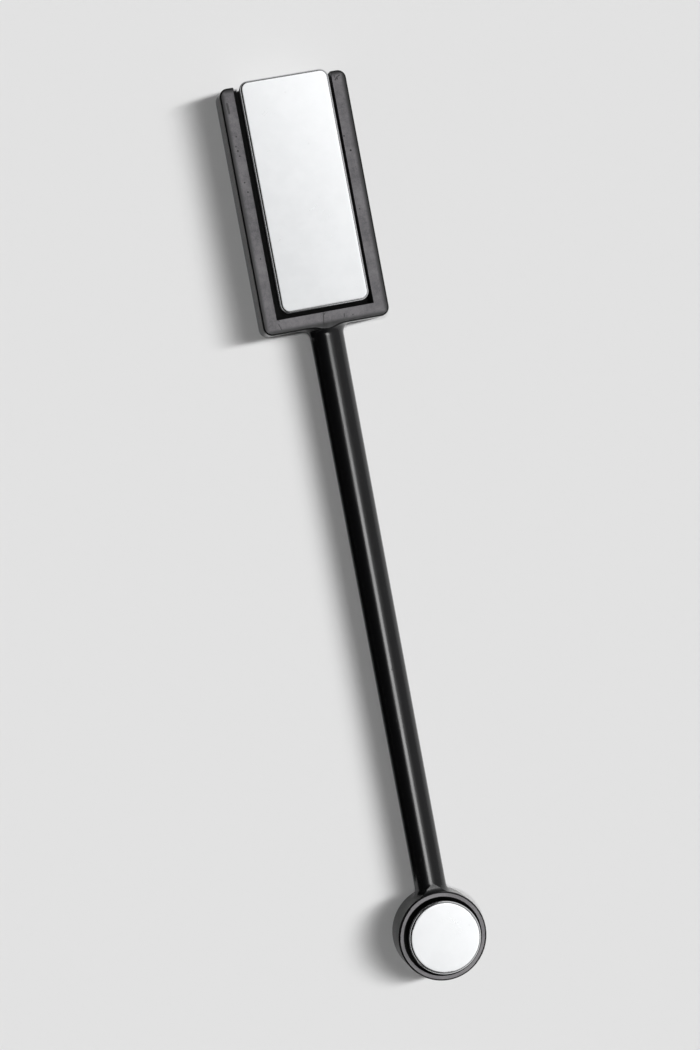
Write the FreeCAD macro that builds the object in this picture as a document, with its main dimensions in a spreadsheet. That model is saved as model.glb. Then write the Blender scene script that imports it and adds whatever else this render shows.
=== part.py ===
"""Magnetic wand: a block magnet and a disc magnet glued into one black plastic moulding.

The wand lies on its back. +Z points up, out of the two magnet pockets, +Y runs along the
rod towards the block magnet, and X runs across. The origin is under the middle of the wand,
on the surface that it lies on. Lengths are in millimetres.
"""
import FreeCAD, Part
import math
import os

import Sketcher

TOLERANCE = 0.001
THROUGH_ALL = 1


# Driving dimensions: each can be set by itself

SIZES = {
    # the block magnet in the tray, and how far it is glued in off the middle
    "bar_magnet_width": 12.0,
    "bar_magnet_length": 30.8,
    "bar_magnet_thickness": 5.0,
    "bar_magnet_corner": 1.2,
    "bar_off_across": 0.08,
    # the disc magnet in the cup, glued in a little to one side and away from the rod
    "disc_magnet_diameter": 9.8,
    "disc_magnet_thickness": 5.0,
    "disc_off_across": 0.13,
    "disc_off_along": 0.1,
    # tumbled edges of both magnets
    "magnet_edge": 0.45,
    # thickness of the tray and the cup, and the plastic under both magnets
    "rim_height": 5.25,
    "pocket_floor": 1.3,
    # the tray: its arms, its closed end, and the block magnet's reach past the arms
    "arm_wall": 2.0,
    "end_wall": 1.95,
    "bar_glue_gap": 0.5,
    "bar_overhang": 0.45,
    "closed_end_corner": 1.2,
    "arm_corner": 1.1,
    # the cup: its ring, and the gap inside it round a disc magnet in the middle
    "cup_wall": 0.75,
    "disc_glue_gap": 0.32,
    # the rod: from the tray's closed end to the middle of the cup, and how far it lies in
    # from the rim and from the back at each end
    "rod_reach": 82.4,
    "rod_inset_at_tray": 0.365,
    "rod_inset_at_cup": 0.525,
    "rod_root": 1.2,
    # the top of the rod's blend at the cup: how far it stays under the ring's rounded edge,
    # and how far above the rod it runs out
    "ring_land": 0.08,
    "blend_land": 0.025,
    # rounding of the outer edges, and of the pockets' upper edges
    "outer_edge": 0.27,
    "pocket_edge": 0.1,
}


def add_sizes(doc):
    """The sheet of driving dimensions: a name and a plain number on each row."""
    sheet = doc.addObject("Spreadsheet::Sheet", "Sizes")
    for row, (name, value) in enumerate(SIZES.items(), start=1):
        sheet.set(f"A{row}", name)
        sheet.set(f"B{row}", str(value))
        sheet.setAlias(f"B{row}", name)
    doc.recompute()


# Dimensions that follow from the driving ones

SLOT_WIDTH = "(Sizes.bar_magnet_width + 2 * Sizes.bar_glue_gap)"
TRAY_WIDTH = f"({SLOT_WIDTH} + 2 * Sizes.arm_wall)"
MAGNET_START = "(Sizes.end_wall + Sizes.bar_glue_gap)"
MAGNET_END = f"({MAGNET_START} + Sizes.bar_magnet_length)"
TRAY_LENGTH = f"({MAGNET_END} - Sizes.bar_overhang)"
BORE_RADIUS = "(Sizes.disc_magnet_diameter / 2 + Sizes.disc_glue_gap)"
CUP_RADIUS = f"({BORE_RADIUS} + Sizes.cup_wall)"
CLOSED_END = f"((Sizes.rod_reach + {CUP_RADIUS} - {MAGNET_END}) / 2)"
CUP_MIDDLE = f"({CLOSED_END} - Sizes.rod_reach)"
ROD_HEIGHT = "(Sizes.rim_height / 2)"
TRAY_END_RADIUS = f"({ROD_HEIGHT} - Sizes.rod_inset_at_tray)"
CUP_END_RADIUS = f"({ROD_HEIGHT} - Sizes.rod_inset_at_cup)"
RING_WALL = "(Sizes.outer_edge + Sizes.ring_land)"
BLANK_HEIGHT = "(Sizes.rim_height + 4 * Sizes.rod_root)"
TRIM_WIDTH = f"({TRAY_WIDTH} + 2 * {CUP_RADIUS})"


# Sketches, each on the axes of its own piece and with every dimension bound to the sheet

def new_sketch(body, name, height="0", role="XY_Plane"):
    """An empty sketch on a plane of the piece's own: level at a height, or upright along the rod."""
    sketch = body.newObject("Sketcher::SketchObject", name)
    base = next(plane for plane in body.Origin.OriginFeatures if plane.Role == role)
    sketch.AttachmentSupport = [(base, "")]
    sketch.MapMode = "FlatFace"
    upward = "z" if role == "XY_Plane" else "y"
    sketch.setExpression(f"AttachmentOffset.Base.{upward}", height)
    return sketch


def add_loop(sketch, corners):
    """Straight lines from corner to corner, joined end to end. Returns their numbers."""
    points = [FreeCAD.Vector(x, y, 0) for x, y in corners]
    sides = [sketch.addGeometry(Part.LineSegment(first, second))
             for first, second in zip(points, points[1:] + points[:1])]
    for side, following in zip(sides, sides[1:] + sides[:1]):
        sketch.addConstraint(Sketcher.Constraint("Coincident", side, 2, following, 1))
    return sides


def bind(sketch, name, size, *constraint):
    """Add a named dimension to a sketch and tie it to a size."""
    index = sketch.addConstraint(Sketcher.Constraint(*constraint, 1.0))
    sketch.renameConstraint(index, name)
    sketch.setExpression(f"Constraints.{name}", size)


def rectangle_sketch(body, name, height, width, end, start=None):
    """A rectangle centred across the piece, up to an end from its origin line or from a start."""
    sketch = new_sketch(body, name, height)
    add_loop(sketch, ((-1, 0), (1, 0), (1, 1), (-1, 1)))
    sketch.addConstraint(Sketcher.Constraint("Symmetric", 0, 1, 0, 2, -2))
    for side, direction in ((1, "Vertical"), (2, "Horizontal"), (3, "Vertical")):
        sketch.addConstraint(Sketcher.Constraint(direction, side))
    bind(sketch, "width", width, "DistanceX", 0, 1, 0, 2)
    bind(sketch, "end", end, "DistanceY", -1, 1, 2, 1)
    if start:
        bind(sketch, "start", start, "DistanceY", -1, 1, 0, 1)
    else:
        sketch.addConstraint(Sketcher.Constraint("PointOnObject", 0, 1, -1))
    return sketch


def circle_sketch(body, name, height, radius, reach=None):
    """A circle round the piece's origin, or at a reach from it towards the cup."""
    sketch = new_sketch(body, name, height)
    sketch.addGeometry(Part.Circle(FreeCAD.Vector(0, -1, 0), FreeCAD.Vector(0, 0, 1), 1))
    bind(sketch, "radius", radius, "Radius", 0)
    if reach:
        sketch.addConstraint(Sketcher.Constraint("PointOnObject", 0, 3, -2))
        bind(sketch, "reach", reach, "DistanceY", 0, 3, -1, 1)
    else:
        sketch.addConstraint(Sketcher.Constraint("Coincident", 0, 3, -1, 1))
    return sketch


def rod_sketch(body):
    """Half of the rod's lengthwise section, which tapers from the tray to the middle of the cup."""
    sketch = new_sketch(body, "rod_section", ROD_HEIGHT)
    add_loop(sketch, ((0, 0), (2, 0), (1, -1), (0, -1)))
    sketch.addConstraint(Sketcher.Constraint("Coincident", 0, 1, -1, 1))
    for side, direction in ((0, "Horizontal"), (2, "Horizontal"), (3, "Vertical")):
        sketch.addConstraint(Sketcher.Constraint(direction, side))
    bind(sketch, "tray_end", TRAY_END_RADIUS, "DistanceX", 0, 1, 0, 2)
    bind(sketch, "cup_end", CUP_END_RADIUS, "DistanceX", 2, 2, 2, 1)
    bind(sketch, "reach", "Sizes.rod_reach", "DistanceY", 3, 1, 3, 2)
    return sketch


def blend_trim_sketch(body):
    """Section of a groove round the cup: a hollow beside the ring, then a level just above the rod."""
    sketch = new_sketch(body, "blend_trim", ROD_HEIGHT, "YZ_Plane")
    sketch.setExpression("AttachmentOffset.Base.x", "-Sizes.rod_reach")
    points = [FreeCAD.Vector(x, y, 0) for x, y in ((1, 2), (2, 2), (3, 1), (4, 1), (4, 3), (1, 3))]
    ends = ((0, 1), (2, 3), (3, 4), (4, 5), (5, 0))
    ledge, floor, outside, top, inside = (
        sketch.addGeometry(Part.LineSegment(points[first], points[second])) for first, second in ends)
    circle = Part.Circle(FreeCAD.Vector(3, 2, 0), FreeCAD.Vector(0, 0, 1), 1)
    hollow = sketch.addGeometry(Part.ArcOfCircle(circle, math.pi, 1.5 * math.pi))
    sketch.addConstraint(Sketcher.Constraint("Tangent", hollow, 2, floor, 1))
    chain = [floor, outside, top, inside, ledge, hollow]
    for side, following in zip(chain, chain[1:]):
        sketch.addConstraint(Sketcher.Constraint("Coincident", side, 2, following, 1))
    for side in (floor, top, ledge):
        sketch.addConstraint(Sketcher.Constraint("Horizontal", side))
    for side in (outside, inside):
        sketch.addConstraint(Sketcher.Constraint("Vertical", side))
    bind(sketch, "inner_radius", BORE_RADIUS, "DistanceX", -1, 1, ledge, 1)
    bind(sketch, "under_ring", "Sizes.cup_wall", "DistanceX", ledge, 1, ledge, 2)
    bind(sketch, "hollow", "Sizes.rod_root", "Radius", hollow)
    bind(sketch, "past_blend", "Sizes.rod_root", "DistanceX", floor, 1, floor, 2)
    bind(sketch, "floor", f"{CUP_END_RADIUS} + Sizes.blend_land", "DistanceY", -1, 1, floor, 1)
    bind(sketch, "depth", f"Sizes.rod_inset_at_cup - {RING_WALL} - Sizes.blend_land",
         "DistanceY", floor, 1, ledge, 2)
    bind(sketch, "past_rim", f"2 * {RING_WALL}", "DistanceY", ledge, 1, top, 2)
    return sketch


# Features of a body

def new_piece(doc, name, across, along, up):
    """A body named after its piece, with its own origin at a place on the wand."""
    body = doc.addObject("PartDesign::Body", name)
    body.Label = name
    for axis, place in (("x", across), ("y", along), ("z", up)):
        body.setExpression(f"Placement.Base.{axis}", place)
    return body


def pad(body, sketch, length, midplane=False):
    """Raise a sketch from its plane, or by half its length to each side of it."""
    feature = body.newObject("PartDesign::Pad", f"{sketch.Name}_pad")
    feature.Profile = sketch
    feature.Midplane = midplane
    feature.setExpression("Length", length)
    body.Document.recompute()


def cut(body, sketch, upwards=True):
    """Cut away all that lies above a sketch, or below it, and see that something went."""
    before = body.Shape.Volume
    feature = body.newObject("PartDesign::Pocket", f"{sketch.Name}_cut")
    feature.Profile = sketch
    feature.Type = THROUGH_ALL
    feature.Reversed = upwards
    body.Document.recompute()
    if body.Shape.Volume > before - TOLERANCE:
        raise RuntimeError(f"{feature.Name} removed nothing")


def turn(body, sketch):
    """Turn a section round the sketch's lengthwise axis."""
    feature = body.newObject("PartDesign::Revolution", f"{sketch.Name}_turned")
    feature.Profile = sketch
    feature.ReferenceAxis = (sketch, ["V_Axis"])
    feature.Angle = 360
    body.Document.recompute()


def turn_away(body, sketch):
    """Turn a section round its own upright axis and cut away what it sweeps."""
    before = body.Shape.Volume
    feature = body.newObject("PartDesign::Groove", f"{sketch.Name}_cut")
    feature.Profile = sketch
    feature.ReferenceAxis = (sketch, ["V_Axis"])
    feature.Angle = 360
    body.Document.recompute()
    if body.Shape.Volume > before - TOLERANCE:
        raise RuntimeError(f"{feature.Name} removed nothing")
    return feature


def repeat_below(body, feature, sketch):
    """Repeat a cut on the other side of its sketch's level axis."""
    mirrored = body.newObject("PartDesign::Mirrored", f"{feature.Name}_below")
    mirrored.Originals = [feature]
    mirrored.MirrorPlane = (sketch, ["H_Axis"])
    body.Tip = mirrored
    body.Document.recompute()


def round_edges(body, name, radius, chosen):
    """Round the edges of the body that a test chooses."""
    base = body.Tip
    edges = enumerate(base.Shape.Edges, start=1)
    picked = [f"Edge{index}" for index, edge in edges if chosen(edge)]
    if not picked:
        raise RuntimeError(f"{name} found no edge")
    feature = body.newObject("PartDesign::Fillet", name)
    feature.Base = (base, picked)
    feature.setExpression("Radius", radius)
    body.Document.recompute()


def is_upright(edge):
    """True for an edge that runs straight up."""
    box = edge.BoundBox
    return box.XLength < TOLERANCE and box.YLength < TOLERANCE


def is_round_rod(edge):
    """True for an edge that goes round the rod: every other one is level, upright or lengthwise."""
    box = edge.BoundBox
    return box.XLength > TOLERANCE and box.ZLength > TOLERANCE


def is_level(edge, height):
    """True for an edge that lies flat at a height."""
    box = edge.BoundBox
    return abs(box.ZMin - height) < TOLERANCE and abs(box.ZMax - height) < TOLERANCE


# The handle moulding: its own origin is under the middle of the tray's closed end

def raise_tall_blank(body):
    """Solid tray and cup, taller than the wand, so that the rod's blends have room."""
    tray = rectangle_sketch(body, "tray_outline", ROD_HEIGHT, TRAY_WIDTH, TRAY_LENGTH)
    pad(body, tray, BLANK_HEIGHT, midplane=True)
    far_end = body.Tip.Shape.BoundBox.YMax
    round_edges(body, "closed_end_corners", "Sizes.closed_end_corner",
                lambda edge: is_upright(edge) and edge.BoundBox.YMin < TOLERANCE)
    round_edges(body, "arm_corners", "Sizes.arm_corner",
                lambda edge: is_upright(edge) and edge.BoundBox.YMax > far_end - TOLERANCE)
    cup = circle_sketch(body, "cup_outline", ROD_HEIGHT, CUP_RADIUS, "Sizes.rod_reach")
    pad(body, cup, BLANK_HEIGHT, midplane=True)


def add_rod(body):
    """The round rod between the tray and the cup, blended into both."""
    turn(body, rod_sketch(body))
    round_edges(body, "rod_roots", "Sizes.rod_root", is_round_rod)


def trim_to_thickness(body):
    """Take the blank down to two flat faces: the back, at zero, and the rim."""
    start = f"-1 * (Sizes.rod_reach + 2 * {CUP_RADIUS})"
    end = f"(2 * {TRAY_LENGTH})"
    cut(body, rectangle_sketch(body, "above_rim", "Sizes.rim_height", TRIM_WIDTH, end, start))
    cut(body, rectangle_sketch(body, "below_back", "0", TRIM_WIDTH, end, start), upwards=False)


def clear_ring(body):
    """Lower the rod's blend at the cup, then give the cup its ring back as a full circle."""
    section = blend_trim_sketch(body)
    repeat_below(body, turn_away(body, section), section)
    ring = circle_sketch(body, "ring_outline", "0", CUP_RADIUS, "Sizes.rod_reach")
    pad(body, ring, "Sizes.rim_height")


def round_outline(body):
    """Round the whole outline of the tray and the cup, at the rim and at the back."""
    rim = body.Document.Sizes.rim_height
    round_edges(body, "outline", "Sizes.outer_edge",
                lambda edge: is_level(edge, rim) or is_level(edge, 0))


def open_pockets(body):
    """The tray's slot, open past the ends of its arms, and the cup's round bore."""
    slot_end = f"({TRAY_LENGTH} + Sizes.arm_wall)"
    cut(body, rectangle_sketch(body, "tray_slot", "Sizes.pocket_floor", SLOT_WIDTH, slot_end,
                               "Sizes.end_wall"))
    cut(body, circle_sketch(body, "cup_bore", "Sizes.pocket_floor", BORE_RADIUS, "Sizes.rod_reach"))
    sizes = body.Document.Sizes

    def is_pocket_rim(edge):
        floors = [face.BoundBox.ZMin for face in body.Tip.Shape.ancestorsOfType(edge, Part.Face)]
        return is_level(edge, sizes.rim_height) and min(floors) < sizes.pocket_floor + TOLERANCE

    round_edges(body, "pocket_rims", "Sizes.pocket_edge", is_pocket_rim)


def build_handle_moulding(doc):
    """Tray, rod and cup, moulded as one piece."""
    body = new_piece(doc, "handle_moulding", "0", CLOSED_END, "0")
    raise_tall_blank(body)
    add_rod(body)
    trim_to_thickness(body)
    clear_ring(body)
    round_outline(body)
    open_pockets(body)


# The magnets: sintered, tumbled and nickel-plated

def build_bar_magnet(doc):
    """The block magnet, with its own origin under the middle of the end near the rod."""
    along = f"{CLOSED_END} + {MAGNET_START}"
    body = new_piece(doc, "bar_magnet", "Sizes.bar_off_across", along, "Sizes.pocket_floor")
    pad(body, rectangle_sketch(body, "bar_plan", "0", "Sizes.bar_magnet_width",
                               "Sizes.bar_magnet_length"), "Sizes.bar_magnet_thickness")
    round_edges(body, "bar_corners", "Sizes.bar_magnet_corner", is_upright)
    top = body.Document.Sizes.bar_magnet_thickness
    round_edges(body, "bar_edges", "Sizes.magnet_edge",
                lambda edge: is_level(edge, 0) or is_level(edge, top))


def build_disc_magnet(doc):
    """The disc magnet, with its own origin under its middle."""
    along = f"{CUP_MIDDLE} - Sizes.disc_off_along"
    body = new_piece(doc, "disc_magnet", "Sizes.disc_off_across", along, "Sizes.pocket_floor")
    pad(body, circle_sketch(body, "disc_plan", "0", "Sizes.disc_magnet_diameter / 2"),
        "Sizes.disc_magnet_thickness")
    top = body.Document.Sizes.disc_magnet_thickness
    round_edges(body, "disc_edges", "Sizes.magnet_edge",
                lambda edge: is_level(edge, 0) or is_level(edge, top))


# The wand

def check_wand(doc, pieces):
    """Stop if an object of the document failed, or if a piece isn't one sound solid."""
    for thing in doc.Objects:
        if "Invalid" in thing.State or "Error" in thing.State:
            raise RuntimeError(f"{thing.Name} failed: {thing.State}")
    for piece in pieces:
        if piece.Shape.isNull() or not piece.Shape.isValid() or len(piece.Shape.Solids) != 1:
            raise RuntimeError(f"{piece.Label} isn't one valid solid")


def main():
    doc = FreeCAD.newDocument("MagneticWand")
    add_sizes(doc)
    build_handle_moulding(doc)
    build_bar_magnet(doc)
    build_disc_magnet(doc)
    doc.recompute()
    pieces = [thing for thing in doc.Objects if thing.TypeId == "PartDesign::Body"]
    check_wand(doc, pieces)
    os.makedirs("parts", exist_ok=True)
    for piece in pieces:
        piece.Shape.exportStep(f"parts/{piece.Label}.step")
        box = piece.Shape.BoundBox
        print(f"{piece.Label}: {piece.Shape.Volume:.1f} mm3, from ({box.XMin:.2f}, {box.YMin:.2f},"
              f" {box.ZMin:.2f}) to ({box.XMax:.2f}, {box.YMax:.2f}, {box.ZMax:.2f})")


main()
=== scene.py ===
import math

import bpy
from mathutils import Matrix, Vector


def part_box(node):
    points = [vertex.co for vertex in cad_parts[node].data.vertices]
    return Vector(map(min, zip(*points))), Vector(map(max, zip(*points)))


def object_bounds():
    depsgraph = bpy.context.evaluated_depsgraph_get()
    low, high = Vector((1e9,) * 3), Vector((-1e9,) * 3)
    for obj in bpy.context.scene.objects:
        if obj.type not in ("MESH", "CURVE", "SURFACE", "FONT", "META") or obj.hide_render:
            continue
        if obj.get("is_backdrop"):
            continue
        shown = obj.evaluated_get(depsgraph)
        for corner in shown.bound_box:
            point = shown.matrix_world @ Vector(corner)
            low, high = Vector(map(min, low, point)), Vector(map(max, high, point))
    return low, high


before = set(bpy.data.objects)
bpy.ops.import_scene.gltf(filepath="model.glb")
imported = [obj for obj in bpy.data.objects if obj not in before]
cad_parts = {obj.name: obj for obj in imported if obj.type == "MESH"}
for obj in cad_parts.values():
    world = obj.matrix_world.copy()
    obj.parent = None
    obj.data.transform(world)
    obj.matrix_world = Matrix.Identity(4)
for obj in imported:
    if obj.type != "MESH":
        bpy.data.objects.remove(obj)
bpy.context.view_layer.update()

# The handle: a tray, a rod and a cup in one injection moulding of black plastic.
# The flat rims are scuffed grey, mottled and pitted. The rod and the outer walls
# keep the gloss of the mould, with the small marks that moulding left on them.

MM = 0.001


def feed(tree, socket, value):
    """Sets a socket to a number or a colour, or links the output of another node to it."""
    if isinstance(value, bpy.types.NodeSocket):
        tree.links.new(value, socket)
    else:
        socket.default_value = value


def add(tree, kind, sockets=None, **settings):
    node = tree.nodes.new(kind)
    for name, value in settings.items():
        setattr(node, name, value)
    for name, value in (sockets or {}).items():
        feed(tree, node.inputs[name], value)
    return node


def maths(tree, operation, *values):
    return add(tree, "ShaderNodeMath", dict(enumerate(values)), operation=operation).outputs[0]


def vectors(tree, operation, first, second):
    """A vector, or the number that a distance or a dot product comes to."""
    second_socket = "Scale" if operation == "SCALE" else 1
    sockets = {0: first, second_socket: second}
    node = add(tree, "ShaderNodeVectorMath", sockets, operation=operation)
    return node.outputs["Value" if operation in ("DISTANCE", "DOT_PRODUCT") else "Vector"]


def fade(tree, value, start, end):
    """0 where the value is at start, 1 where it is at end, and smooth between."""
    sockets = {"Value": value, "From Min": start, "From Max": end}
    return add(tree, "ShaderNodeMapRange", sockets, interpolation_type="SMOOTHSTEP").outputs["Result"]


def between(tree, share, low, high):
    """The number at that share of the way from low to high."""
    sockets = {"Value": share, "To Min": low, "To Max": high}
    return add(tree, "ShaderNodeMapRange", sockets).outputs["Result"]


def mix_colour(tree, share, first, second):
    """The colour at that share of the way from the first to the second."""
    node = add(tree, "ShaderNodeMix", data_type="RGBA")
    values = {"Factor_Float": share, "A_Color": first, "B_Color": second}
    for socket in node.inputs:
        if socket.identifier in values:
            feed(tree, socket, values[socket.identifier])
    return next(socket for socket in node.outputs if socket.identifier == "Result_Color")


def new_group(name, inputs, outputs):
    """A shader node group: its tree, the sockets of what it is given and those of its result."""
    tree = bpy.data.node_groups.new(name, "ShaderNodeTree")
    for label, kind, value in inputs:
        socket = tree.interface.new_socket(label, in_out="INPUT", socket_type=kind)
        if value is not None:
            socket.default_value = value
    for label in outputs:
        tree.interface.new_socket(label, in_out="OUTPUT", socket_type="NodeSocketFloat")
    return tree, tree.nodes.new("NodeGroupInput").outputs, tree.nodes.new("NodeGroupOutput").inputs


# Fine grain, broad mottling and scattered pits, on any surface that is measured in millimetres.
NOISE_ROUGHNESS = 0.6
NOISE_LOW, NOISE_HIGH = 0.32, 0.68
SMALLEST_PIT, LARGEST_PIT = -0.06, 0.09
PIT_WALL_OUTSIDE, PIT_WALL_INSIDE = -0.02, 0.03
grain_tree, given, result = new_group(
    "fine_grain",
    [
        ("Place", "NodeSocketVector", None),
        ("Grain Size", "NodeSocketFloat", 0.1),
        ("Mottle Size", "NodeSocketFloat", 1.5),
        ("Pit Spacing", "NodeSocketFloat", 1.5),
    ],
    ["Grain", "Mottle", "Pits"],
)
for label, size, detail in [("Grain", "Grain Size", 3.0), ("Mottle", "Mottle Size", 4.0)]:
    scale = maths(grain_tree, "DIVIDE", 1.0, given[size])
    sockets = {"Vector": given["Place"], "Scale": scale, "Detail": detail, "Roughness": NOISE_ROUGHNESS}
    noise = add(grain_tree, "ShaderNodeTexNoise", sockets).outputs["Fac"]
    feed(grain_tree, result[label], fade(grain_tree, noise, NOISE_LOW, NOISE_HIGH))
scale = maths(grain_tree, "DIVIDE", 1.0, given["Pit Spacing"])
cells = add(grain_tree, "ShaderNodeTexVoronoi", {"Vector": given["Place"], "Scale": scale})
lot = add(grain_tree, "ShaderNodeSeparateColor", {"Color": cells.outputs["Color"]}).outputs["Red"]
pit_size = between(grain_tree, lot, SMALLEST_PIT, LARGEST_PIT)
inside = maths(grain_tree, "SUBTRACT", pit_size, cells.outputs["Distance"])
feed(grain_tree, result["Pits"], fade(grain_tree, inside, PIT_WALL_OUTSIDE, PIT_WALL_INSIDE))

# Hairline scratches along one direction, broken up where they fade out.
HAIRLINE_STRETCH = 0.035
HAIRLINE_HALF_WIDTH = 0.012
PATCH_SCALE = 0.22
PATCH_LOW, PATCH_HIGH = 0.5, 0.62
scratch_tree, given, result = new_group(
    "hairlines",
    [
        ("Place", "NodeSocketVector", None),
        ("Turn", "NodeSocketFloat", 0.0),
        ("Spacing", "NodeSocketFloat", 1.0),
    ],
    ["Lines"],
)
sockets = {"Vector": given["Place"], "Angle": given["Turn"]}
turned = add(scratch_tree, "ShaderNodeVectorRotate", sockets, rotation_type="Z_AXIS").outputs["Vector"]
drawn = vectors(scratch_tree, "MULTIPLY", turned, (1.0, HAIRLINE_STRETCH, HAIRLINE_STRETCH))
scale = maths(scratch_tree, "DIVIDE", 1.0, given["Spacing"])
sockets = {"Vector": drawn, "Scale": scale, "Detail": 2.0}
noise = add(scratch_tree, "ShaderNodeTexNoise", sockets).outputs["Fac"]
off_line = maths(scratch_tree, "ABSOLUTE", maths(scratch_tree, "SUBTRACT", noise, 0.5))
line = fade(scratch_tree, off_line, HAIRLINE_HALF_WIDTH, 0.0)
sockets = {"Vector": given["Place"], "Scale": PATCH_SCALE}
patches = add(scratch_tree, "ShaderNodeTexNoise", sockets).outputs["Fac"]
kept = fade(scratch_tree, patches, PATCH_LOW, PATCH_HIGH)
feed(scratch_tree, result["Lines"], maths(scratch_tree, "MULTIPLY", line, kept))


def new_material(name):
    """A new material, its tree and the inputs of its shader."""
    material = bpy.data.materials.new(name)
    material.use_nodes = True
    tree = material.node_tree
    return material, tree, tree.nodes["Principled BSDF"].inputs


def measured_place(tree):
    """Where a point of the wand lies, in millimetres, for patterns and marks to be measured from."""
    return vectors(tree, "SCALE", add(tree, "ShaderNodeTexCoord").outputs["Object"], 1 / MM)


def upward(tree):
    """1 where the surface is level and faces up, and 0 on a wall."""
    normal = add(tree, "ShaderNodeNewGeometry").outputs["Normal"]
    return add(tree, "ShaderNodeSeparateXYZ", {0: normal}).outputs["Z"]


def put(tree, group, **sockets):
    """The outputs of a group that is placed in a material with its own values."""
    node = tree.nodes.new("ShaderNodeGroup")
    node.node_tree = group
    for label, value in sockets.items():
        feed(tree, node.inputs[label.replace("_", " ")], value)
    return node.outputs


def largest(tree, masks):
    total = masks[0]
    for mask in masks[1:]:
        total = maths(tree, "MAXIMUM", total, mask)
    return total


def seen_from_above(tree, place):
    return vectors(tree, "MULTIPLY", place, (1.0, 1.0, 0.0))


def away_from(tree, place, x, y):
    """How far a place lies from a point seen from above, in millimetres."""
    return vectors(tree, "DISTANCE", seen_from_above(tree, place), (x, y, 0.0))


def spot(tree, place, x, y, radius):
    """1 within the radius of a point seen from above, in millimetres."""
    return fade(tree, away_from(tree, place, x, y), radius, radius * 0.4)


def stroke(tree, place, x1, y1, x2, y2, width):
    """1 on a straight line between two points seen from above, in millimetres."""
    first, run = Vector((x1, y1, 0.0)), Vector((x2 - x1, y2 - y1, 0.0))
    away = vectors(tree, "SUBTRACT", seen_from_above(tree, place), first)
    share = vectors(tree, "DOT_PRODUCT", away, run / run.length_squared)
    share = add(tree, "ShaderNodeClamp", {"Value": share}).outputs[0]
    off = vectors(tree, "DISTANCE", away, vectors(tree, "SCALE", run, share))
    return fade(tree, off, width * 0.5, width * 0.15)


GLOSS_BLACK = (0.0045, 0.0045, 0.005, 1.0)
# A deeper black, painted as shade in the pockets beside the magnets.
POCKET_PAINTED_SHADE = (0.0012, 0.0012, 0.0012, 1.0)
SCUFFED_GREY = (0.050, 0.048, 0.053, 1.0)
WORN_GREY = (0.165, 0.158, 0.166, 1.0)
DARK_MARK = (0.006, 0.006, 0.006, 1.0)
GLOSS_ROUGHNESS = 0.22
RIM_ROUGHNESS = 0.46
POCKET_ROUGHNESS = 0.75
PLASTIC_IOR = 1.5

plastic, tree, shader = new_material("moulded_black")
place = measured_place(tree)
across, along, height = add(tree, "ShaderNodeSeparateXYZ", {0: place}).outputs
skin = put(tree, grain_tree, Place=place, Grain_Size=0.13, Mottle_Size=0.75, Pit_Spacing=1.3)
broad = put(tree, grain_tree, Place=place, Grain_Size=0.34, Mottle_Size=3.4, Pit_Spacing=5.0)
hairlines = put(tree, scratch_tree, Place=place, Turn=0.04, Spacing=0.5)["Lines"]

# The rim is what is level at the top of the moulding.
NEARLY_LEVEL, LEVEL = 0.955, 0.998
EDGE_DEPTH = 0.10
RIM_SKIN = 0.01
handle_low, handle_high = (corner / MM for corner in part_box("handle_moulding"))
rim_height = handle_high.z
on_top = fade(tree, height, rim_height - EDGE_DEPTH, rim_height - RIM_SKIN)
rim = maths(tree, "MULTIPLY", on_top, fade(tree, upward(tree), NEARLY_LEVEL, LEVEL))

# The pockets lie under the rim, inside the tray's slot and the cup's bore. Their deeper black is painted
# shade in the narrow gaps beside the magnets.
SLOT_GAP = 0.62
BORE_GAP = 0.70
POCKET_DEPTH = 0.45
bar_low, bar_high = (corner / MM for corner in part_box("bar_magnet"))
bar_middle = (bar_low + bar_high) / 2
disc_low, disc_high = (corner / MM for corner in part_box("disc_magnet"))
disc_middle = (disc_low + disc_high) / 2
off_middle = maths(tree, "ABSOLUTE", maths(tree, "SUBTRACT", across, bar_middle.x))
in_slot = maths(
    tree,
    "MULTIPLY",
    maths(tree, "LESS_THAN", off_middle, bar_high.x - bar_middle.x + SLOT_GAP),
    maths(tree, "GREATER_THAN", along, bar_low.y - SLOT_GAP),
)
off_disc = away_from(tree, place, disc_middle.x, disc_middle.y)
in_bore = maths(tree, "LESS_THAN", off_disc, disc_high.x - disc_middle.x + BORE_GAP)
under_rim = fade(tree, height, rim_height - EDGE_DEPTH, rim_height - POCKET_DEPTH)
pocket_shade_mask = maths(tree, "MULTIPLY", under_rim, maths(tree, "MAXIMUM", in_slot, in_bore))

# The rims are worn grey, and the grey fades to gloss black along the outline, over a narrower border on
# the cup.
# The gloss at the very edge is real. The darkening across the border is painted shade of light falling off
# toward the edges.
# Each border goes over into wear between its two distances from the outline.
CLOSED_END_Y = 27.56
CUP_RADIUS = 5.97
RING_GLOSS_AND_SHADE_BORDER = (0.06, 0.22)
TRAY_GLOSS_AND_SHADE_BORDER = (0.28, 0.85)
from_arms = maths(tree, "SUBTRACT", handle_high.x, maths(tree, "ABSOLUTE", across))
from_open_end = maths(tree, "SUBTRACT", handle_high.y, along)
from_closed_end = maths(tree, "SUBTRACT", along, CLOSED_END_Y)
from_tray_edge = maths(tree, "MINIMUM", from_arms, maths(tree, "MINIMUM", from_open_end, from_closed_end))
off_cup = away_from(tree, place, 0.0, handle_low.y + CUP_RADIUS)
from_ring_edge = maths(tree, "SUBTRACT", CUP_RADIUS, off_cup)
on_tray = maths(tree, "GREATER_THAN", along, 0.0)
on_cup = maths(tree, "SUBTRACT", 1.0, on_tray)
ring_wear_and_edge_shade = fade(tree, from_ring_edge, *RING_GLOSS_AND_SHADE_BORDER)
tray_wear_and_edge_shade = fade(tree, from_tray_edge, *TRAY_GLOSS_AND_SHADE_BORDER)
# Real wear, with painted shade darkening it toward the rims' outline.
wear_and_edge_shade = maths(tree, "MULTIPLY", rim, between(tree, on_tray, ring_wear_and_edge_shade, tray_wear_and_edge_shade))

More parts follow.
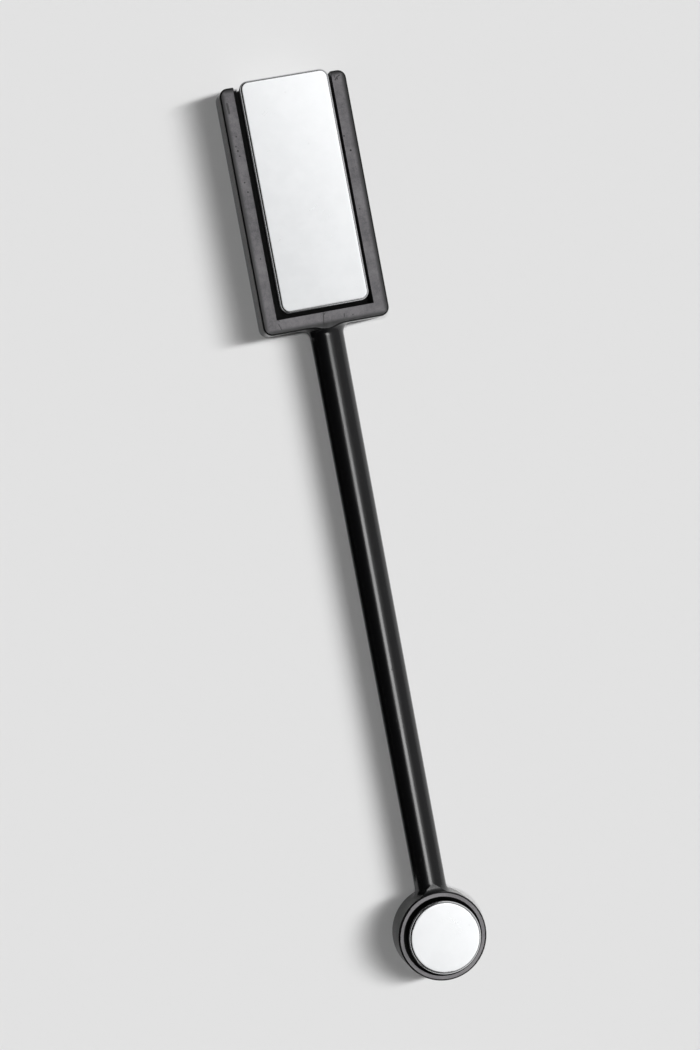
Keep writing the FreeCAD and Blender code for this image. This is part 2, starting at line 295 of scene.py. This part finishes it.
# Pits in the rims, then the gate's swirl on the right arm, the knit line and creases at the
# tray's closed end, and a dark streak on the left arm. Each has its places and its size.
RIM_PITS = [
    (6.76, 51.69, 0.15),
    (7.28, 49.69, 0.18),
    (6.47, 41.86, 0.16),
    (7.01, 41.93, 0.12),
    (-7.33, 53.96, 0.12),
    (-7.61, 52.68, 0.12),
    (-7.46, 52.09, 0.18),
    (-7.34, 51.37, 0.12),
    (-7.36, 47.89, 0.14),
    (-7.17, 46.59, 0.15),
    (-7.17, 37.74, 0.12),
    (3.53, 28.42, 0.12),
]
RIM_LINES = [
    (7.66, 59.63, 7.27, 59.47, 0.22),
    (7.27, 59.47, 6.97, 59.12, 0.22),
    (7.27, 59.47, 7.26, 59.14, 0.18),
    (6.93, 59.67, 6.96, 59.46, 0.18),
    (-0.30, 29.35, -0.54, 27.77, 0.16),
    (-0.06, 29.31, -0.44, 28.90, 0.14),
    (2.41, 28.76, 2.34, 28.37, 0.16),
    (-6.43, 28.88, -6.15, 28.11, 0.13),
    (-6.43, 29.55, -6.25, 29.22, 0.12),
    (-7.72, 58.38, -7.66, 57.11, 0.40),
]
STRAY_PIT_STRENGTH = 0.6
LINE_STRENGTH = 0.75
stray_pits = maths(tree, "MULTIPLY", skin["Pits"], STRAY_PIT_STRENGTH)
pits = largest(tree, [spot(tree, place, *pit) for pit in RIM_PITS] + [stray_pits])
rim_lines = largest(tree, [stroke(tree, place, *line) for line in RIM_LINES])
marks = maths(tree, "MAXIMUM", pits, maths(tree, "MULTIPLY", rim_lines, LINE_STRENGTH))
marks = maths(tree, "MULTIPLY", marks, rim)

WEAR = [(skin["Mottle"], 0.34), (broad["Mottle"], 0.38), (skin["Grain"], 0.28), (on_cup, 0.3)]
HAIRLINE_WEAR = 0.35
wear = 0.0
for mask, strength in WEAR:
    wear = maths(tree, "ADD", wear, maths(tree, "MULTIPLY", mask, strength))
scuffed = mix_colour(tree, wear, SCUFFED_GREY, WORN_GREY)
scuffed = mix_colour(tree, maths(tree, "MULTIPLY", hairlines, HAIRLINE_WEAR), scuffed, WORN_GREY)
# Worn grey over gloss black. Its fade near the outline is painted shade.
colour = mix_colour(tree, wear_and_edge_shade, GLOSS_BLACK, scuffed)
colour = mix_colour(tree, marks, colour, DARK_MARK)
# Painted shade: the pockets get a deeper black than the plastic's own.
colour = mix_colour(tree, pocket_shade_mask, colour, POCKET_PAINTED_SHADE)
feed(tree, shader["Base Color"], colour)

gloss = between(tree, broad["Mottle"], GLOSS_ROUGHNESS - 0.015, GLOSS_ROUGHNESS + 0.02)
scuff = between(tree, skin["Mottle"], RIM_ROUGHNESS - 0.05, RIM_ROUGHNESS + 0.06)
roughness = between(tree, rim, gloss, scuff)
roughness = maths(tree, "MAXIMUM", roughness, maths(tree, "MULTIPLY", pocket_shade_mask, POCKET_ROUGHNESS))
feed(tree, shader["Roughness"], roughness)

# The walls sink a little in long waves, and the rims have a fine grain with the marks sunk in it.
# A few specks lie on the rod's upper half.
WAVE_LENGTH = 7.0
WAVE_DEPTH = 0.03
GRAIN_DEPTH = 0.004
MARK_DEPTH = 6.0
WALL_GRAIN, RIM_GRAIN = 0.12, 1.0
ROD_SPECKS = [(-0.76, -44.32, 0.20), (-0.04, -18.68, 0.09), (-0.64, -25.47, 0.11)]
ROD_UPPER_HALF = (3.0, 4.0)
waves = add(tree, "ShaderNodeTexNoise", {"Vector": place, "Scale": 1 / WAVE_LENGTH, "Detail": 1.0})
sunk = add(tree, "ShaderNodeBump", {"Height": waves.outputs["Fac"], "Distance": WAVE_DEPTH * MM})
specks = largest(tree, [spot(tree, place, *speck) for speck in ROD_SPECKS])
specks = maths(tree, "MULTIPLY", specks, fade(tree, height, *ROD_UPPER_HALF))
dents = maths(tree, "MULTIPLY", maths(tree, "MAXIMUM", marks, specks), MARK_DEPTH)
grain = maths(tree, "MULTIPLY", skin["Grain"], between(tree, rim, WALL_GRAIN, RIM_GRAIN))
sockets = {
    "Height": maths(tree, "SUBTRACT", grain, dents),
    "Distance": GRAIN_DEPTH * MM,
    "Normal": sunk.outputs["Normal"],
}
feed(tree, shader["Normal"], add(tree, "ShaderNodeBump", sockets).outputs["Normal"])
feed(tree, shader["IOR"], PLASTIC_IOR)

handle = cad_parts["handle_moulding"]
handle.material_slots[0].material = plastic

# The bar magnet: a sintered block, tumbled until its edges are round, then nickel plated.
# It stands proud of the tray's rim, glued down on the pocket's floor.

NICKEL = (0.79, 0.80, 0.81, 1.0)
DULL_NICKEL = (0.762, 0.772, 0.782, 1.0)
PIT_BROWN = (0.34, 0.33, 0.32, 1.0)
PIT_STAIN = 0.10
FACE_ROUGHNESS = 0.30
FACE_SWING = 0.015
EDGE_ROUGHNESS = 0.14
HAIRLINE_GLOSS = 0.02
PLATING_GRAIN = 0.0012
ROUNDED, FLAT = 0.90, 0.995


def nickel_plate(name, mottle_size, turn):
    """Satin nickel: fine tumbled grain, faint mottling, a few hairlines, and smoother rounded edges."""
    material, tree, shader = new_material(name)
    place = measured_place(tree)
    skin = put(tree, grain_tree, Place=place, Grain_Size=0.09, Mottle_Size=mottle_size, Pit_Spacing=1.9)
    hairlines = put(tree, scratch_tree, Place=place, Turn=turn, Spacing=0.6)["Lines"]

    colour = mix_colour(tree, skin["Mottle"], DULL_NICKEL, NICKEL)
    stain = maths(tree, "MULTIPLY", skin["Pits"], PIT_STAIN)
    feed(tree, shader["Base Color"], mix_colour(tree, stain, colour, PIT_BROWN))

    face = between(tree, skin["Mottle"], FACE_ROUGHNESS - FACE_SWING, FACE_ROUGHNESS + FACE_SWING)
    face = maths(tree, "SUBTRACT", face, maths(tree, "MULTIPLY", hairlines, HAIRLINE_GLOSS))
    on_face = fade(tree, upward(tree), ROUNDED, FLAT)
    feed(tree, shader["Roughness"], between(tree, on_face, EDGE_ROUGHNESS, face))

    depth = maths(tree, "SUBTRACT", skin["Grain"], skin["Pits"])
    bump = add(tree, "ShaderNodeBump", {"Height": depth, "Distance": PLATING_GRAIN * MM})
    feed(tree, shader["Normal"], bump.outputs["Normal"])
    feed(tree, shader["Metallic"], 1.0)
    return material


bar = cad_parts["bar_magnet"]
bar.material_slots[0].material = nickel_plate("nickel_on_bar", 2.6, 0.9)

# The disc magnet: the same nickel over a sintered disc, glued in the cup.
# Its face is cleaner than the bar's, and just as proud of the rim.

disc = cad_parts["disc_magnet"]
disc.material_slots[0].material = nickel_plate("nickel_on_disc", 3.4, -0.6)

# The pale table that the wand lies on: matt grey paper, larger than the picture.
# Past its edge the room shows the camera the same grey.

FLOOR_HALF = 3.0
FLOOR_GREY = 0.76


def sheet(name, low, high, height):
    """A flat rectangle over the table, in metres."""
    corners = [(low[0], low[1]), (high[0], low[1]), (high[0], high[1]), (low[0], high[1])]
    mesh = bpy.data.meshes.new(name)
    mesh.from_pydata([(x, y, height) for x, y in corners], [], [(0, 1, 2, 3)])
    thing = bpy.data.objects.new(name, mesh)
    bpy.context.scene.collection.objects.link(thing)
    return thing


def matt(name, grey, roughness):
    """A grey without any gloss."""
    material, tree, shader = new_material(name)
    feed(tree, shader["Base Color"], (grey, grey, grey, 1.0))
    feed(tree, shader["Roughness"], roughness)
    feed(tree, shader["Specular IOR Level"], 0.0)
    return material


floor = sheet("floor", (-FLOOR_HALF, -FLOOR_HALF), (FLOOR_HALF, FLOOR_HALF), 0.0)
floor.data.materials.append(matt("pale_paper", FLOOR_GREY, 1.0))
floor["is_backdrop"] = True

# Black cards on the table to the left of the tray, the rod and the cup.
# Only the gloss of the plastic sees them, and they keep its left side dark.

CARD_HEIGHT = 0.0003
CARD_FAR = -0.4
CARD_TOP, CARD_BOTTOM = 0.12, -0.12
TRAY_END, CUP_TOP = 0.0265, -0.0480
card_black = matt("card_black", 0.0, 0.5)
for name, near, bottom, top in [
    ("card_by_tray", -0.0110, TRAY_END, CARD_TOP),
    ("card_by_rod", -0.0044, CUP_TOP, TRAY_END),
    ("card_by_cup", -0.0100, CARD_BOTTOM, CUP_TOP),
]:
    card = sheet(name, (CARD_FAR, bottom), (near, top), CARD_HEIGHT)
    card.data.materials.append(card_black)
    card.visible_camera = card.visible_diffuse = card.visible_shadow = False
    card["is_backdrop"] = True

# The light: a key from the right that casts the soft shadow, a fill from beside the camera,
# lamps that only the gloss of some pieces shows, and a dim room.

# The key's lamps stand in an arc, by degrees from straight above, each with its part of the light.
KEY_ARC = [
    (22, 0.08),
    (27, 0.09),
    (32, 0.14),
    (37, 0.18),
    (42, 0.20),
    (47, 0.18),
    (51.5, 0.10),
    (55, 0.03),
]
KEY_TURN = math.radians(4)
KEY_WIDTH = math.radians(6)
KEY_SHARE = 0.735
FILL_TOWARDS = Vector((-0.153, 0.044, 0.987))
FILL_WIDTH = math.radians(4)
FILL_SHARE = 0.235
ROOM_SHARE = 0.03


def aim(thing, place, target, turn=0.0):
    """Stands a lamp or camera at a place, looking at a target, with +Y up the picture but for the turn."""
    back = (place - target).normalized()
    up = Vector((0.0, 1.0, 0.0))
    up = (up - back * up.dot(back)).normalized()
    up = Matrix.Rotation(turn, 3, back) @ up
    right = up.cross(back)
    thing.matrix_world = Matrix.Translation(place) @ Matrix((right, up, back)).transposed().to_4x4()


def new_lamp(name, kind, place, target, turn=0.0):
    lamp = bpy.data.objects.new(name, bpy.data.lights.new(name, kind))
    bpy.context.scene.collection.objects.link(lamp)
    aim(lamp, place, target, turn)
    return lamp


def shine(name, towards, width, share):
    """A distant lamp that gives the table a share of its light, and that no gleam shows."""
    lamp = new_lamp(name, "SUN", towards, Vector())
    lamp.data.angle = width
    lamp.data.energy = share * math.pi / towards.z
    lamp.visible_glossy = False


for degrees, part in KEY_ARC:
    tilt = math.radians(degrees)
    level = Vector((math.cos(KEY_TURN), math.sin(KEY_TURN), 0.0)) * math.sin(tilt)
    shine("key", level + Vector((0.0, 0.0, math.cos(tilt))), KEY_WIDTH, KEY_SHARE * part)
shine("fill", FILL_TOWARDS, FILL_WIDTH, FILL_SHARE)


def hang(name, place, width, depth, radiance, seen_by, turn=0.0, target=None):
    """A rectangular lamp that lights only the things that are named. Without a target it faces down."""
    place = Vector(place)
    target = Vector((place.x, place.y, 0.0)) if target is None else Vector(target)
    lamp = new_lamp(name, "AREA", place, target, turn)
    lamp.data.shape = "RECTANGLE"
    lamp.data.size = width
    lamp.data.size_y = depth
    lamp.data.energy = radiance * math.pi * width * depth
    lit = bpy.data.collections.new(name)
    for thing in seen_by:
        lit.objects.link(thing)
    lamp.light_linking.receiver_collection = lit
    lamp.visible_diffuse = False


# The softbox draws the long gleam on the rod. Its edges are given as the angles they are seen at.
BOX_HEIGHT = 0.9
BOX_LEFT, BOX_RIGHT = (BOX_HEIGHT * math.tan(math.radians(angle)) for angle in (-12.0, 7.0))
BOX_BOTTOM, BOX_TOP = (BOX_HEIGHT * math.tan(math.radians(angle)) for angle in (-24.0, 3.0))
hang(
    "softbox",
    place=((BOX_LEFT + BOX_RIGHT) / 2, (BOX_BOTTOM + BOX_TOP) / 2, BOX_HEIGHT),
    width=BOX_RIGHT - BOX_LEFT,
    depth=BOX_TOP - BOX_BOTTOM,
    radiance=9.6,
    seen_by=[handle],
    turn=math.radians(-8),
)

# A weaker panel to its right lights the rod's right flank.
hang("side_panel", place=(0.25, -0.03, 0.85), width=0.27, depth=0.7, radiance=0.65, seen_by=[handle])

# Each magnet's face mirrors a broad panel, with a brighter edge to the upper right of it. What
# the camera sees mirrored in a face lies this far off for each metre that it is above the face.
MIRROR_X, BAR_MIRROR_Y, DISC_MIRROR_Y = 0.157, 0.086, -0.209
PANEL_HEIGHT = 0.5
hang(
    "panel",
    place=(MIRROR_X * PANEL_HEIGHT, -0.035, PANEL_HEIGHT),
    width=0.42,
    depth=0.75,
    radiance=0.65,
    seen_by=[bar, disc],
)
GLEAM_HEIGHT = 0.2
GLEAM_TURN = math.radians(25)
for name, piece, face_y, mirror_y, shift, radiance in [
    ("bar_gleam", bar, bar_middle.y * MM, BAR_MIRROR_Y, 0.075, 1.05),
    ("disc_gleam", disc, disc_middle.y * MM, DISC_MIRROR_Y, 0.0715, 1.2),
]:
    mirrored = Vector((MIRROR_X * GLEAM_HEIGHT, face_y + mirror_y * GLEAM_HEIGHT, GLEAM_HEIGHT))
    middle = mirrored + Vector((math.cos(GLEAM_TURN), math.sin(GLEAM_TURN), 0.0)) * shift
    hang(name, middle, width=0.12, depth=0.25, radiance=radiance, seen_by=[piece], turn=GLEAM_TURN)

# A low strip to the left draws the thin line along the magnets' left edges.
hang(
    "left_strip",
    place=(-0.25, 0.0, 0.055),
    width=0.1,
    depth=0.7,
    radiance=0.55,
    seen_by=[bar, disc],
    target=(0.0, 0.0, 0.005),
)

# How bright the room is that the gleams show, from its left wall over its top to its right wall.
ROOM = [(-0.5, 0.0), (-0.1, 0.06), (0.14, 0.22), (0.42, 0.36), (0.9, 0.37)]
world = bpy.data.worlds.new("room")
bpy.context.scene.world = world
world.use_nodes = True
tree = world.node_tree
direction = add(tree, "ShaderNodeTexCoord").outputs["Generated"]
sideways = add(tree, "ShaderNodeSeparateXYZ", {0: direction}).outputs["X"]
room = ROOM[0][1]
for (start, low), (end, high) in zip(ROOM, ROOM[1:]):
    rise = maths(tree, "MULTIPLY", fade(tree, sideways, start, end), high - low)
    room = maths(tree, "ADD", room, rise)
ray = add(tree, "ShaderNodeLightPath").outputs
strength = between(tree, ray["Is Glossy Ray"], ROOM_SHARE, room)
strength = between(tree, ray["Is Camera Ray"], strength, FLOOR_GREY)
background = tree.nodes["Background"].inputs
feed(tree, background["Strength"], strength)
feed(tree, background["Color"], (1.0, 1.0, 1.0, 1.0))

# The camera: a long lens close to straight above the wand, a little to its left,
# and turned so that the wand leans across the upright picture.

CAMERA_PLACE = Vector((-53.457, 16.142, 341.245)) * MM
CAMERA_TARGET = Vector((-1.245, 1.017, 0.0)) * MM
CAMERA_TURN = math.radians(-10.67)
camera_data = bpy.data.cameras.new("camera")
camera_data.lens = 88.444
camera_data.sensor_width = 36.0
camera_data.clip_start = 0.01
camera = bpy.data.objects.new("camera", camera_data)
bpy.context.scene.collection.objects.link(camera)
aim(camera, CAMERA_PLACE, CAMERA_TARGET, CAMERA_TURN)
bpy.context.scene.camera = camera
bpy.context.scene.view_settings.view_transform = "Standard"

low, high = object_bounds()
